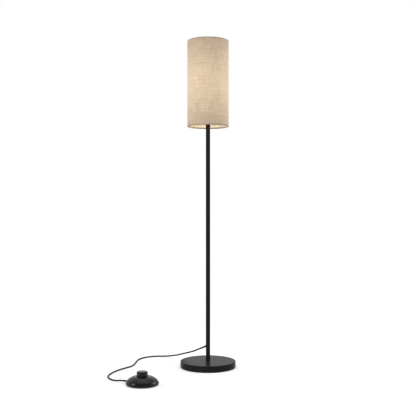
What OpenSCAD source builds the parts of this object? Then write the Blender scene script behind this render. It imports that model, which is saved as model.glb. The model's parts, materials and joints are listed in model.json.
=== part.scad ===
// Column floor lamp: a round weighted base, a plain tube column, a tall linen drum shade
// and a black flex with a domed foot switch lying beside the base.
// Millimetres. The origin is on the floor at the centre of the base, +Z is up and -Y is the front.

/* [Overall] */
// Height of the lamp, from the floor to the top edge of the shade
lamp_h = 1500; // [1400:10:1650]

/* [Base] */
// Outside diameter of the base cover
base_d = 254; // [236:2:270]
// Height of the base, from the floor to its top face
base_h = 30; // [25:1:36]
// Sheet thickness of the base cover
base_wall = 1.5; // [1:0.25:2]
// Radius of the cover's top edge
base_edge_r = 3; // [3:0.5:6]
// Thickness of the pad under the base
pad_t = 2; // [1.5:0.25:3]
// How far the pad's edge stands in from the cover's side
pad_inset = 5; // [3:1:10]
// Play between the weight and the cover's side
weight_play = 1; // [0.5:0.25:2]

/* [Column] */
// Outside diameter of the column tube
column_d = 20; // [18:0.5:22]
// Wall of the column tube
column_wall = 1.2; // [1:0.1:1.4]
// Length that a plug or joiner reaches into a tube
plug_l = 22; // [18:1:30]
// Length of a joiner's threaded end
joiner_thread_l = 18; // [12:1:18]
// Thread diameter of the joiners
joiner_thread_d = 14; // [13:0.5:14]
// Length of the threaded plug in the foot of the column
foot_plug_l = 35; // [32:1:40]
// Thread diameter of the bolt under the base
bolt_d = 10; // [8:1:12]
// Length of that bolt's shank
bolt_l = 45; // [42:1:48]
// Height of the bolt's head
bolt_head_h = 6.4; // [5:0.2:7]
// Width across the corners of the bolt's head
bolt_head_d = 19; // [17:0.5:20]
// Diameter of the washer under the bolt's head
washer_d = 24; // [22:1:28]
// Thickness of that washer
washer_t = 2; // [1.5:0.25:3]
// Diameter of the flange on the column's top plug
top_flange_d = 23; // [21:1:26]
// Thickness of that flange
top_flange_t = 3; // [2:0.5:4]
// Outside diameter of the hollow nipple under the lampholder
nipple_d = 10; // [9.5:0.25:11]
// Bore of the nipple
nipple_bore = 7.4; // [7:0.1:8]
// Length of the nipple
nipple_l = 36; // [32:1:40]

/* [Cord] */
// Diameter of the flex
cord_d = 6.8; // [5.6:0.2:7]
// Height of the cord outlet above the floor
outlet_z = 96.5; // [94:0.5:99]
// Angle of the outlet below the horizontal
outlet_drop = 22; // [20:1:24]
// Length of the tapered tail outside a housing
gland_l = 22; // [20:1:24]
// Diameter of the tail where it leaves the housing
gland_root_d = 9; // [8.6:0.2:10]
// Diameter of the tail at its tip
gland_tip_d = 7.8; // [7.6:0.2:8.4]
// Diameter of the outlet bush's flange on the column
gland_flange_d = 11.2; // [11:0.2:12.6]

/* [Lampholder and bulb] */
// Diameter of the lampholder
holder_d = 39; // [38:0.5:40]
// Height of the lampholder's cap
holder_cap_h = 22; // [20:1:24]
// Height of the lampholder's body
holder_body_h = 44; // [42:1:46]
// Height on the body at which its flange starts
holder_flange_z = 10; // [8:1:12]
// Diameter of the flange that carries the shade
holder_flange_d = 48; // [46:1:49]
// Thickness of that flange
holder_flange_t = 2.5; // [2:0.25:3]
// Wall of the lampholder
holder_wall = 2.2; // [1.8:0.1:2.6]
// Outside diameter of the bulb's screw cap, over its thread
bulb_cap_d = 26; // [25.6:0.1:26.4]
// Gap around the screw cap
bulb_cap_play = 0.35; // [0.25:0.05:0.5]
// Length of the screw cap, over its contact tip
bulb_cap_l = 27; // [25:1:28]
// Diameter of the bulb's globe
bulb_d = 60; // [55:1:65]
// Length of the bulb, from its contact tip to the top of its globe
bulb_l = 108; // [100:1:112]
// Outside diameter of the ring that clamps the shade
ring_d = 54; // [50:1:58]
// Height of the ring that clamps the shade
ring_h = 9; // [7:1:11]

/* [Shade] */
// Diameter of the shade
shade_d = 190; // [180:2:210]
// Height of the shade
shade_h = 395; // [370:5:420]
// Thickness of the linen
shade_cloth_t = 0.8; // [0.6:0.1:1]
// Thickness of the plastic lining behind the linen
shade_liner_t = 0.4; // [0.3:0.1:0.6]
// Wire diameter of the shade's frame
wire_d = 3; // [2.5:0.5:4]
// Height of the turned-in hems
hem_h = 6; // [5:0.5:8]
// Width of the overlap strip at the back
seam_w = 12; // [8:1:16]
// Height of the fitter ring above the shade's bottom edge
fitter_rise = 115; // [105:5:125]
// Play between the fitter ring and the lampholder
fitter_play = 0.5; // [0.25:0.25:1]
// Outside diameter of the fitter ring
fitter_d = 50; // [50:1:56]
// Direction of the first spoke, seen from above
spoke_angle = 53; // [40:1:65]

/* [Foot switch] */
// Diameter of the switch's domed cover
switch_d = 138; // [130:1:142]
// Height of the switch, from the floor to the top of its button
switch_h = 57; // [53:1:59]
// Height of the cover's flat top
dome_h = 37; // [36:0.5:38]
// Diameter of the cover's flat top
dome_top_d = 60; // [56:1:64]
// Height at which the dome starts to curve in from its rim
dome_rim_h = 10; // [9:0.5:11]
// Fullness of the dome's curve: 1 is a straight slope and 2 a quarter of an ellipse
dome_power = 1.6; // [1.5:0.05:1.8]
// Wall of the cover
cover_wall = 2.5; // [2:0.25:3]
// Gap between the cover's rim and the floor
cover_lift = 2.6; // [2:0.2:3]
// Diameter of the button
button_d = 46.4; // [44:0.4:48]
// Wall of the button
button_wall = 2.5; // [2:0.25:3]
// Radius of the button's top edge
button_edge_r = 5; // [3:0.5:6]
// Gap around the button
button_play = 0.6; // [0.4:0.1:0.8]
// Travel of the button
button_travel = 5; // [3:0.5:5]
// Thickness of the rubber pad under the switch
switch_pad_t = 2; // [1.5:0.25:2.25]
// Thickness of the switch's base plate
plate_t = 3; // [2.5:0.25:3.5]
// Wire diameter of the button's spring
spring_wire_d = 1.6; // [1.2:0.1:1.8]
// Mean diameter of the button's spring
spring_d = 30; // [28:0.5:31]
// Number of turns of the spring
spring_turns = 7; // [5:1:8]

/* [Hidden] */
$fn = 72;
// play of a pressed or screwed fit, drawn as a plain gap, and play of a loose fit
fit = 0.05;
loose = 0.3;
cut = 1; // how far a cutter runs past a face
column_parts = 3; // the tubes that the column is screwed together from
cord_r = cord_d / 2;
column_r = column_d / 2;
tube_r = column_r - column_wall;
shade_r = shade_d / 2;
shade_z = lamp_h - shade_h;
fitter_z = shade_z + fitter_rise;
// the fitter ring rests on the lampholder's flange
body_z = fitter_z - holder_flange_z - holder_flange_t;
cap_z = body_z - holder_cap_h;
column_top_z = cap_z - top_flange_t;
tube_l = (column_top_z - base_h) / column_parts;

// the route of the free cord: its two ends come from the outlet and the switch, and the points
// between them hang from the column and then lie on the floor
switch_x = -272;
switch_y = -346;
entry_angle = 158; // where the cord enters the switch, seen from above
entry_z = 10;
outlet_dir = [-cos(outlet_drop), 0, -sin(outlet_drop)];
entry_dir = [cos(entry_angle), sin(entry_angle), 0];
outlet_pos = [-column_r, 0, outlet_z];
cord_start = outlet_pos + gland_l * outlet_dir;
switch_pos = [switch_x, switch_y, 0];
cord_end = switch_pos + [0, 0, entry_z] + (switch_d / 2 + gland_l) * entry_dir;
straight = 8; // the cord leaves each tail straight for this far
route = [
    cord_start,
    cord_start + straight * outlet_dir,
    [-62, 7, 74],
    [-90, 35, 61],
    [-116, 75, 48],
    [-141, 122, 33],
    [-164, 168, 21],
    [-187, 210, 10],
    [-214, 235, 4],
    [-250, 236, 3],
    [-285, 224, 3],
    [-315, 197, 3],
    [-333, 157, 3],
    [-340, 105, 3],
    [-342, 54, 3],
    [-351, 6, 3],
    [-375, -33, 3],
    [-403, -78, 3],
    [-423, -130, 3],
    [-433, -180, 3],
    [-430, -222, 3],
    [-415, -258, 3],
    [-392, -287, 5],
    cord_end + straight * entry_dir,
    cord_end];

// the lead inside the column: in through the outlet, a bend against the far wall, then up the axis
lead_top_z = cap_z + 10;
lead_in = 3.4; // how far in from the outside the bend starts
lead_x = tube_r - cord_r - 2 * loose; // where the lead lies against the far wall
lead_bend_r = (lead_x + column_r - lead_in * cos(outlet_drop)) / (1 - sin(outlet_drop));
bend_centre = outlet_pos - lead_in * outlet_dir + lead_bend_r * [-sin(outlet_drop), 0, cos(outlet_drop)];
lead_route = concat(
    [cord_start, outlet_pos],
    [for (a = [outlet_drop:(90 - outlet_drop) / 4:90.1])
        bend_centre + lead_bend_r * [sin(a), 0, -cos(a)]],
    [[lead_x, 0, bend_centre[2] + 30],
     [lead_x / 2, 0, bend_centre[2] + 70],
     [0, 0, bend_centre[2] + 110],
     [0, 0, base_h + tube_l],
     [0, 0, base_h + 2 * tube_l],
     [0, 0, lead_top_z]]);

// the switch's own sizes, from the floor up
plate_z = switch_pad_t;
plate_top = plate_z + plate_t;
switch_r = switch_d / 2;
switch_pad_inset = 8;
button_r = button_d / 2;
dome_under = dome_h - cover_wall;
button_hole_r = button_r + button_play;
button_flange_t = 2.5;
button_flange_r = button_hole_r + 2.5;
button_flange_z = dome_under - loose - button_flange_t;
button_top_under = switch_h - button_wall;
block_h = 14;
block_d = 24;
block_z = plate_top;
rotor_z = block_z + 3.5;
rotor_h = 5;
rotor_d = 16;
plunger_d = 6;
spring_seat_z = plate_top + 4;
spring_top_z = button_top_under;
boss_d = 8;
boss_ring_r = switch_r - 17;
boss_hole_h = 10; // depth of the screws' pilot holes above the plate
boss_angles = [68, 188, 308];
screw_d = 3;
screw_head_d = 6;
lead_in_r = 40; // the flex's sheath ends this far from the switch's centre
terminal_ring_r = 24;
terminal_h = 10;
terminal_size = 8;
blade_w = 4;
blade_t = 0.8;
end_run = 1; // a wire's last straight bit before it meets a terminal

function unit(v) = v / norm(v);
function sum(list) = list * [for (item = list) 1];
// a smooth step from 0 to 1
function ease(t) = 3 * t * t - 2 * t * t * t;
// points on a smooth curve through p, n of them for each stretch
function spline_point(a, b, c, d, t) =
    0.5 * (2 * b + (c - a) * t + (2 * a - 5 * b + 4 * c - d) * t * t
    + (3 * b - a - 3 * c + d) * t * t * t);
function spline(p, n) = concat(
    [for (i = [0:len(p) - 2], j = [0:n - 1])
        spline_point(
            i == 0 ? 2 * p[0] - p[1] : p[i - 1],
            p[i],
            p[i + 1],
            i == len(p) - 2 ? 2 * p[i + 1] - p[i] : p[i + 2],
            j / n)],
    [p[len(p) - 1]]);
// a curve's direction at its point i
function direction(p, i) = unit(p[min(i + 1, len(p) - 1)] - p[max(i - 1, 0)]);
// points of an arc in the plane
function arc(x, y, r, a0, a1, n) =
    [for (i = [0:n]) [x + r * cos(a0 + (a1 - a0) * i / n), y + r * sin(a0 + (a1 - a0) * i / n)]];

// a round tube of radius r along the points p, whose rings stand square to it;
// ref is a direction that the path never follows
module sweep(p, r, sides, ref) {
    rings = len(p);
    last = (rings - 1) * sides;
    points = [for (i = [0:rings - 1])
        let (
            t = direction(p, i),
            u = unit(cross(ref, t)),
            v = cross(t, u)
        )
        for (k = [0:sides - 1]) p[i] + r * (cos(360 * k / sides) * u + sin(360 * k / sides) * v)];
    walls = [for (i = [0:rings - 2], k = [0:sides - 1])
        let (
            a = i * sides + k,
            b = i * sides + (k + 1) % sides
        )
        each [[a, b + sides, b], [a, a + sides, b + sides]]];
    ends = concat(
        [for (k = [1:sides - 2]) [0, k, k + 1]],
        [for (k = [1:sides - 2]) [last, last + k + 1, last + k]]);
    polyhedron(points, concat(walls, ends), convexity = 10);
}

// a ring of rectangular section
module ring(outer_r, inner_r, z, h) {
    translate([0, 0, z])
        difference() {
            cylinder(r = outer_r, h = h);
            translate([0, 0, -cut]) cylinder(r = inner_r, h = h + 2 * cut);
        }
}

// a ring of round section
module wire_ring(r, d, z) {
    translate([0, 0, z])
        rotate_extrude()
            translate([r, 0]) circle(d = d, $fn = 24);
}

module at_switch() {
    translate(switch_pos) children();
}

// turns local +Z to the outlet's outward direction, or to the entry's
module at_outlet() {
    translate(outlet_pos) rotate([0, -90 - outlet_drop, 0]) children();
}

module at_entry(angle = entry_angle) {
    translate([0, 0, entry_z]) rotate([0, 90, angle]) children();
}

// ---- base ----
cover_in_r = base_d / 2 - base_wall;
cover_under = base_h - base_wall;
recess_h = washer_t + bolt_head_h + cut;
recess_top = pad_t + recess_h;

module base_cover() {
    r = base_d / 2;
    color("#262626")
        rotate_extrude($fn = 144)
            polygon(concat(
                [[bolt_d / 2 + loose, cover_under], [bolt_d / 2 + loose, base_h]],
                [for (p = arc(r - base_edge_r, base_h - base_edge_r, base_edge_r, 90, 0, 6)) p],
                [[r, pad_t], [cover_in_r, pad_t]],
                [for (p = arc(r - base_edge_r, base_h - base_edge_r, base_edge_r - base_wall, 0, 90, 6)) p]));
}

module base_weight() {
    weight_r = cover_in_r - weight_play;
    chamfer = base_edge_r;
    color("#5a5652")
        difference() {
            rotate_extrude($fn = 144)
                polygon([
                    [0, pad_t],
                    [weight_r, pad_t],
                    [weight_r, cover_under - chamfer],
                    [weight_r - chamfer, cover_under],
                    [0, cover_under]]);
            translate([0, 0, pad_t - cut]) cylinder(d = washer_d + 2 * cut, h = recess_h + cut);
            cylinder(r = bolt_d / 2 + loose, h = base_h);
        }
}

module base_pad() {
    color("#1b1b1b") cylinder(r = base_d / 2 - pad_inset, h = pad_t, $fn = 144);
}

module base_washer() {
    color("#b4b4b4") ring(washer_d / 2, bolt_d / 2 + loose, recess_top - washer_t, washer_t);
}

module base_bolt() {
    head_top = recess_top - washer_t;
    color("#a8a8a8") {
        translate([0, 0, head_top - bolt_head_h]) cylinder(d = bolt_head_d, h = bolt_head_h, $fn = 6);
        translate([0, 0, head_top - cut]) cylinder(d = bolt_d, h = bolt_l + cut);
    }
}

// ---- column ----
module column_tube(index) {
    color("#222222") ring(column_r, tube_r, base_h + index * tube_l, tube_l);
}

module column_lower() {
    color("#222222")
        difference() {
            column_tube(0);
            at_outlet() translate([0, 0, -column_r]) cylinder(d = gland_root_d + 2 * fit, h = 2 * column_r);
        }
}

module column_middle() {
    column_tube(1);
}

module column_upper() {
    column_tube(2);
}

module column_foot() {
    color("#9a9a9a") ring(tube_r - fit, bolt_d / 2 + fit, base_h, foot_plug_l);
}

// a joiner is pressed into the top of one tube and its thread stands up into the next
module column_joiners() {
    lead_bore_r = cord_r + 1;
    color("#9a9a9a")
        for (i = [1:column_parts - 1]) {
            seam_z = base_h + i * tube_l;
            translate([0, 0, seam_z])
                difference() {
                    union() {
                        translate([0, 0, -plug_l]) cylinder(r = tube_r - fit, h = plug_l);
                        cylinder(d = joiner_thread_d, h = joiner_thread_l);
                    }
                    translate([0, 0, -plug_l - cut])
                        cylinder(r = lead_bore_r, h = plug_l + joiner_thread_l + 2 * cut);
                }
        }
}

// the threaded sleeves in the feet of the middle and upper tubes
module column_sleeves() {
    color("#9a9a9a")
        for (i = [1:column_parts - 1])
            ring(tube_r - fit, joiner_thread_d / 2 + fit, base_h + i * tube_l, plug_l);
}

module column_top() {
    bore_r = nipple_d / 2 + fit;
    color("#222222") {
        ring(tube_r - fit, bore_r, column_top_z - plug_l, plug_l);
        ring(top_flange_d / 2, bore_r, column_top_z, top_flange_t);
    }
}

module top_nipple() {
    reach = 12; // length of thread that stands up into the lampholder's cap
    color("#c9b26a") ring(nipple_d / 2, nipple_bore / 2, cap_z + reach - nipple_l, nipple_l);
}

module gland_tail() {
    cylinder(d1 = gland_root_d, d2 = gland_tip_d, h = gland_l);
}

module column_gland() {
    shank = lead_in - 0.2;
    flange_t = 2.4;
    color("#1b1b1b")
        difference() {
            union() {
                at_outlet() gland_tail();
                difference() {
                    at_outlet() translate([0, 0, -flange_t]) cylinder(d = gland_flange_d, h = 2 * flange_t);
                    translate([0, 0, outlet_z - 3 * gland_flange_d])
                        cylinder(r = column_r + fit, h = 6 * gland_flange_d);
                }
                at_outlet() translate([0, 0, -shank]) cylinder(d = gland_root_d - 2 * fit, h = shank + cut);
            }
            at_outlet() translate([0, 0, -3 * shank]) cylinder(r = cord_r + fit, h = 3 * shank + gland_l + cut);
        }
}

module column_lead() {
    color("#202020") sweep(lead_route, cord_r, 12, [0, 1, 0]);
}

module cord() {
    rings_per_stretch = 3;
    smooth = spline(route, rings_per_stretch);
    // the first and last stretches run straight, square to what the cord meets
    kept = concat(
        [cord_start],
        [for (i = [rings_per_stretch:len(smooth) - 1 - rings_per_stretch]) smooth[i]],
        [cord_end]);
    path = [for (p = kept) [p[0], p[1], max(p[2], cord_r)]];
    echo(cord_length = round(sum([for (i = [1:len(path) - 1]) norm(path[i] - path[i - 1])])));
    color("#161616") sweep(path, cord_r, 12, [0, 0, 1]);
}

// ---- lampholder ----
holder_r = holder_d / 2;
cap_in_r = bulb_cap_d / 2 + bulb_cap_play; // inside of the screw shell
shell_t = 0.6;
core_r = holder_r - holder_wall - fit;
core_h = 12;
terminal_x = 9; // the two terminals stand this far from the axis
core_wire_d = 2.4;
contact_h = 2.2;
tip_z = body_z + core_h + contact_h + 0.2; // the bulb's contact tip stands on the centre contact
body_top_z = body_z + holder_body_h;

module holder_cap() {
    crown = 6;
    floor_t = holder_wall * 1.5;
    color("#1c1c1c")
        rotate_extrude()
            polygon([
                [nipple_d / 2 + fit, cap_z],
                [holder_r - crown, cap_z],
                [holder_r, cap_z + crown],
                [holder_r, body_z],
                [holder_r - holder_wall, body_z],
                [holder_r - holder_wall, cap_z + crown],
                [holder_r - crown - holder_wall, cap_z + floor_t],
                [nipple_d / 2 + fit, cap_z + floor_t]]);
}

module holder_body() {
    color("#1c1c1c") {
        ring(holder_r, holder_r - holder_wall, body_z, holder_body_h);
        ring(holder_flange_d / 2, holder_r - cut, body_z + holder_flange_z, holder_flange_t);
    }
}

module holder_core() {
    color("#e6e2da")
        difference() {
            translate([0, 0, body_z]) cylinder(r = core_r, h = core_h);
            for (x = [-terminal_x, terminal_x])
                translate([x, 0, body_z - cut]) cylinder(d = core_wire_d + 2 * fit, h = core_h + 2 * cut);
        }
}

module shell_contact() {
    color("#c9b26a") ring(cap_in_r + shell_t, cap_in_r, body_z + core_h, bulb_cap_l);
}

module centre_contact() {
    color("#c9b26a") translate([0, 0, body_z + core_h]) cylinder(r = 5, h = contact_h);
}

// the two terminal screws pass through the core, their heads beside the centre contact
module holder_screws() {
    color("#c9b26a")
        for (x = [-terminal_x, terminal_x])
            translate([x, 0, body_z]) {
                cylinder(d = core_wire_d, h = core_h + cut / 2);
                translate([0, 0, core_h]) cylinder(d = core_wire_d + 1.2, h = 1.6);
            }
}

// the two wires of the flex, from the end of its sheath to the terminals, both ends upright
module holder_cores() {
    wire_r = core_wire_d / 2;
    start_x = wire_r + 0.15;
    low_z = lead_top_z + end_run;
    high_z = body_z - end_run;
    color("#7a5a3a")
        for (side = [-1, 1])
            sweep(concat(
                [[side * start_x, 0, lead_top_z + fit]],
                [for (t = [0:0.125:1])
                    [side * (start_x + (terminal_x - start_x) * ease(t)), 0, low_z + (high_z - low_z) * t]],
                [[side * terminal_x, 0, body_z - fit]]), wire_r, 8, [0, 1, 0]);
}

module shade_ring() {
    color("#1c1c1c") ring(ring_d / 2, holder_r + fit, fitter_z + wire_d + fit, ring_h);
}

// ---- bulb ----
bulb_cap_r = bulb_cap_d / 2;
bulb_cap_wall = 0.8;
tip_h = 2;
insulator_h = 5;
cap_bottom = tip_z + tip_h + insulator_h;
cap_top = tip_z + bulb_cap_l;
globe_r = bulb_d / 2;
globe_z = tip_z + bulb_l - globe_r;
neck_r = 21;
neck_h = 20;
globe_wall = 1.2;

module bulb_tip() {
    color("#b9b9b9") translate([0, 0, tip_z]) cylinder(r1 = 3.5, r2 = 4.8, h = tip_h);
}

module bulb_insulator() {
    color("#171717")
        translate([0, 0, tip_z + tip_h]) cylinder(r1 = 5.5, r2 = bulb_cap_r - 2, h = insulator_h);
}

module bulb_cap() {
    color("#c4c4c4") ring(bulb_cap_r, bulb_cap_r - bulb_cap_wall, cap_bottom, cap_top - cap_bottom);
}

// the neck's spigot sits in the screw cap
module bulb_neck() {
    spigot = 8;
    color("#e9e9e6")
        rotate_extrude()
            polygon([
                [0, cap_top - spigot],
                [bulb_cap_r - bulb_cap_wall - fit, cap_top - spigot],
                [bulb_cap_r - bulb_cap_wall - fit, cap_top],
                [bulb_cap_r + 0.4, cap_top],
                [neck_r, cap_top + neck_h],
                [0, cap_top + neck_h]]);
}

module bulb_board() {
    color("#f4f1e6") translate([0, 0, cap_top + neck_h]) cylinder(r = neck_r - globe_wall - 2, h = 1.6);
}

// a globe of radius r that narrows to radius foot_r on the neck
function globe_profile(r, foot_r) =
    let (foot_z = cap_top + neck_h, join = -asin((globe_z - foot_z) / r * 0.62))
    concat([[0, foot_z], [foot_r, foot_z]], arc(0, globe_z, r, join, 90, 14));

module bulb_globe() {
    color("#fff3d8")
        difference() {
            rotate_extrude() polygon(globe_profile(globe_r, neck_r));
            rotate_extrude() polygon(globe_profile(globe_r - globe_wall, neck_r - globe_wall));
        }
}

// ---- shade ----
cloth_in_r = shade_r - shade_cloth_t;
liner_in_r = cloth_in_r - shade_liner_t;
wire_r = liner_in_r - wire_d / 2 - fit;
frame_wire_z = shade_z + wire_d / 2 + shade_cloth_t;

module shade_fabric() {
    color("#cbb79d") ring(shade_r, cloth_in_r, shade_z, shade_h, $fn = 144);
}

module shade_liner() {
    color("#f3ead8") ring(cloth_in_r, liner_in_r, shade_z + hem_h, shade_h - 2 * hem_h, $fn = 144);
}

// the linen is turned in over the frame's wires at both edges
module shade_trims() {
    color("#b9a58b") {
        ring(cloth_in_r, cloth_in_r - shade_liner_t, shade_z, hem_h, $fn = 144);
        ring(cloth_in_r, cloth_in_r - shade_liner_t, lamp_h - hem_h, hem_h, $fn = 144);
    }
}

// the strip that closes the drum lies inside the lining, at the back
module shade_seam() {
    strip_t = 0.5;
    color("#c4b096")
        intersection() {
            ring(liner_in_r - fit, liner_in_r - strip_t, shade_z + 2 * hem_h, shade_h - 4 * hem_h, $fn = 144);
            translate([-seam_w / 2, 0, shade_z]) cube([seam_w, shade_r, shade_h]);
        }
}

module shade_top_ring() {
    color("#d9d9d6") wire_ring(wire_r, wire_d, lamp_h - wire_d / 2 - shade_cloth_t);
}

module shade_bottom_ring() {
    color("#d9d9d6") wire_ring(wire_r, wire_d, frame_wire_z);
}

spoke_top_z = fitter_z + wire_d / 2;
spoke_top_r = fitter_d / 2 + wire_d / 2;

// each spoke rises from the bottom ring to the side of the fitter ring
module shade_spokes() {
    run = wire_r - spoke_top_r;
    rise = spoke_top_z - frame_wire_z;
    tilt = atan2(run, rise);
    foot = wire_d / 2 + fit; // from the middle of the ring's wire to the spoke's foot
    color("#d9d9d6")
        for (i = [0:2])
            rotate([0, 0, spoke_angle + 120 * i])
                translate([wire_r, 0, frame_wire_z])
                    rotate([0, -tilt, 0])
                        translate([0, 0, foot])
                            cylinder(d = wire_d, h = norm([run, rise]) - foot);
}

module shade_fitter() {
    color("#d9d9d6") ring(fitter_d / 2, holder_r + fitter_play, fitter_z, wire_d);
}

// ---- foot switch ----
// the dome's section, moved in by an offset. From the flat top the curve starts level and ends
// upright at the rim: (run / its whole length)^power + (rise / its whole height)^power = 1
function dome_profile(o) =
    let (
        rim = switch_r - o,
        top = dome_h - o,
        bottom_round = 5,
        run = rim - dome_top_d / 2,
        rise = top - dome_rim_h
    )
    concat(
        [[0, cover_lift], [rim - (o > 0 ? 0 : cover_wall), cover_lift]],
        o > 0 ? [] : arc(rim - bottom_round, cover_lift + bottom_round, bottom_round, -50, 0, 5),
        [for (t = [0:9:90])
            [dome_top_d / 2 + run * pow(cos(t), 2 / dome_power),
             dome_rim_h + rise * pow(sin(t), 2 / dome_power)]],
        [[0, top]]);

module dome_solid(o) {
    rotate_extrude($fn = 96) polygon(dome_profile(o));
}

module switch_cover() {
    color("#191919")
        at_switch()
            difference() {
                union() {
                    difference() {
                        dome_solid(0);
                        translate([0, 0, -cut]) cylinder(r = switch_r - cover_wall, h = cover_lift + cut + fit);
                        dome_solid(cover_wall);
                    }
                    intersection() {
                        dome_solid(cover_wall / 2);
                        for (a = boss_angles)
                            rotate([0, 0, a])
                                translate([boss_ring_r, 0, plate_top]) cylinder(d = boss_d, h = dome_h);
                    }
                }
                for (a = boss_angles)
                    rotate([0, 0, a])
                        translate([boss_ring_r, 0, plate_top - cut])
                            cylinder(d = screw_d + 2 * fit, h = boss_hole_h + cut);
                translate([0, 0, dome_under - cut]) cylinder(r = button_hole_r, h = dome_h);
                translate([0, 0, entry_z]) {
                    rotate([0, 90, entry_angle]) cylinder(d = gland_root_d, h = switch_d);
                    rotate([0, 90, entry_angle + 180]) cylinder(d = gland_root_d, h = switch_d);
                }
            }
}

module switch_pad() {
    color("#1b1b1b") at_switch() cylinder(r = switch_r - switch_pad_inset, h = switch_pad_t, $fn = 96);
}

module switch_base() {
    seat_r = spring_d / 2 + 2 * spring_wire_d;
    color("#1e1e1e")
        at_switch()
            difference() {
                union() {
                    translate([0, 0, plate_z]) cylinder(r = switch_r - cover_wall - loose, h = plate_t, $fn = 96);
                    translate([0, 0, plate_top]) cylinder(r = seat_r, h = spring_seat_z - plate_top);
                }
                translate([0, 0, plate_top]) cylinder(r = block_d / 2 + fit, h = block_h);
                translate([-2 * seat_r, -blade_w / 2 - fit, block_z + 2])
                    cube([4 * seat_r, blade_w + 2 * fit, block_h]);
                for (a = boss_angles)
                    rotate([0, 0, a])
                        translate([boss_ring_r, 0, plate_z - cut]) {
                            cylinder(d = screw_d + 2 * loose, h = plate_t + 2 * cut);
                            cylinder(d = screw_head_d + 2 * loose, h = cut + plate_t / 2);
                        }
            }
}

module cover_screws() {
    color("#a8a8a8")
        at_switch()
            for (a = boss_angles)
                rotate([0, 0, a])
                    translate([boss_ring_r, 0, plate_z]) {
                        cylinder(d = screw_head_d, h = plate_t / 2);
                        cylinder(d = screw_d, h = plate_t + boss_hole_h - 2);
                    }
}

module switch_button() {
    skirt_in_r = button_r - button_wall;
    color("#1b1b1b")
        at_switch()
            rotate_extrude($fn = 96)
                polygon(concat(
                    [[button_flange_r, button_flange_z],
                     [button_flange_r, button_flange_z + button_flange_t],
                     [button_r, button_flange_z + button_flange_t]],
                    arc(button_r - button_edge_r, switch_h - button_edge_r, button_edge_r, 0, 90, 6),
                    [[0, switch_h],
                     [0, button_top_under],
                     [skirt_in_r, button_top_under],
                     [skirt_in_r, button_flange_z]]));
}

// the push rod hangs from the button's top and slides in the rotor
module plunger() {
    rod_bottom = rotor_z + rotor_h / 2 + button_travel;
    head_h = 3;
    color("#dcdcd4")
        at_switch() {
            translate([0, 0, rod_bottom]) cylinder(d = plunger_d, h = button_top_under - rod_bottom);
            translate([0, 0, button_top_under - head_h]) cylinder(d = plunger_d * 2, h = head_h);
        }
}

// one unbroken wire from the base's seat to the underside of the button
function spring_point(t) =
    let (
        wire_rise = spring_top_z - spring_seat_z - spring_wire_d,
        a = 360 * spring_turns * t
    )
    [spring_d / 2 * cos(a), spring_d / 2 * sin(a), spring_seat_z + spring_wire_d / 2 + wire_rise * t];

module button_spring() {
    steps = 8 * spring_turns;
    pitch = (spring_top_z - spring_seat_z - spring_wire_d) / spring_turns;
    echo(spring_least_gap = pitch - spring_wire_d);
    color("#b9b9b9")
        at_switch() sweep([for (i = [0:steps]) spring_point(i / steps)], spring_wire_d / 2, 6, [0, 0, 1]);
}

// the contact block stands in the middle of the base plate and holds the turning contact
module switch_block() {
    bore_r = plunger_d / 2 + loose;
    color("#cfcabd")
        at_switch()
            difference() {
                translate([0, 0, block_z]) cylinder(d = block_d, h = block_h);
                translate([0, 0, block_z + 2]) cylinder(r = rotor_d / 2 + 2 * loose, h = block_h - 4);
                translate([0, 0, block_z + 2]) cylinder(r = bore_r, h = block_h);
                for (side = [-1, 1])
                    translate([side > 0 ? 0 : -block_d, -blade_w / 2 - fit, block_z + 2])
                        cube([block_d, blade_w + 2 * fit, blade_t + fit]);
            }
}

module contact_rotor() {
    color("#2f5f8a")
        at_switch() ring(rotor_d / 2, plunger_d / 2 + loose / 3, rotor_z, rotor_h);
}

// the brass bridge under the rotor joins the two blades
module rotor_bridge() {
    bridge_t = 0.5;
    bridge_w = plunger_d + 4;
    color("#c9b26a")
        at_switch()
            difference() {
                intersection() {
                    translate([0, 0, rotor_z - bridge_t]) cylinder(d = rotor_d, h = bridge_t);
                    translate([-rotor_d, -bridge_w / 2, rotor_z - bridge_t])
                        cube([2 * rotor_d, bridge_w, bridge_t]);
                }
                translate([0, 0, rotor_z - cut]) cylinder(d = plunger_d + loose, h = 2 * cut);
            }
}

module contact_blades() {
    inner = 4.5;
    outer = terminal_ring_r - terminal_size / 2;
    color("#c9b26a")
        at_switch()
            for (side = [-1, 1])
                translate([side > 0 ? inner : -outer, -blade_w / 2, block_z + 2])
                    cube([outer - inner, blade_w, blade_t]);
}

module terminal_blocks() {
    color("#c9b26a")
        at_switch()
            for (side = [-1, 1])
                translate([side * terminal_ring_r, 0, plate_top])
                    difference() {
                        translate([-terminal_size / 2, -terminal_size, 0])
                            cube([terminal_size, 2 * terminal_size, terminal_h]);
                        for (y = [-1, 1])
                            translate([0, y * terminal_size / 2, terminal_h / 2])
                                cylinder(d = screw_d + 2 * fit, h = terminal_h);
                    }
}

module terminal_screws() {
    color("#a8a8a8")
        at_switch()
            for (side = [-1, 1], y = [-1, 1])
                translate([side * terminal_ring_r, y * terminal_size / 2, plate_top + terminal_h / 2]) {
                    cylinder(d = screw_d, h = terminal_h / 2);
                    translate([0, 0, terminal_h / 2]) cylinder(d = screw_d + 2, h = 2);
                }
}

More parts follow.
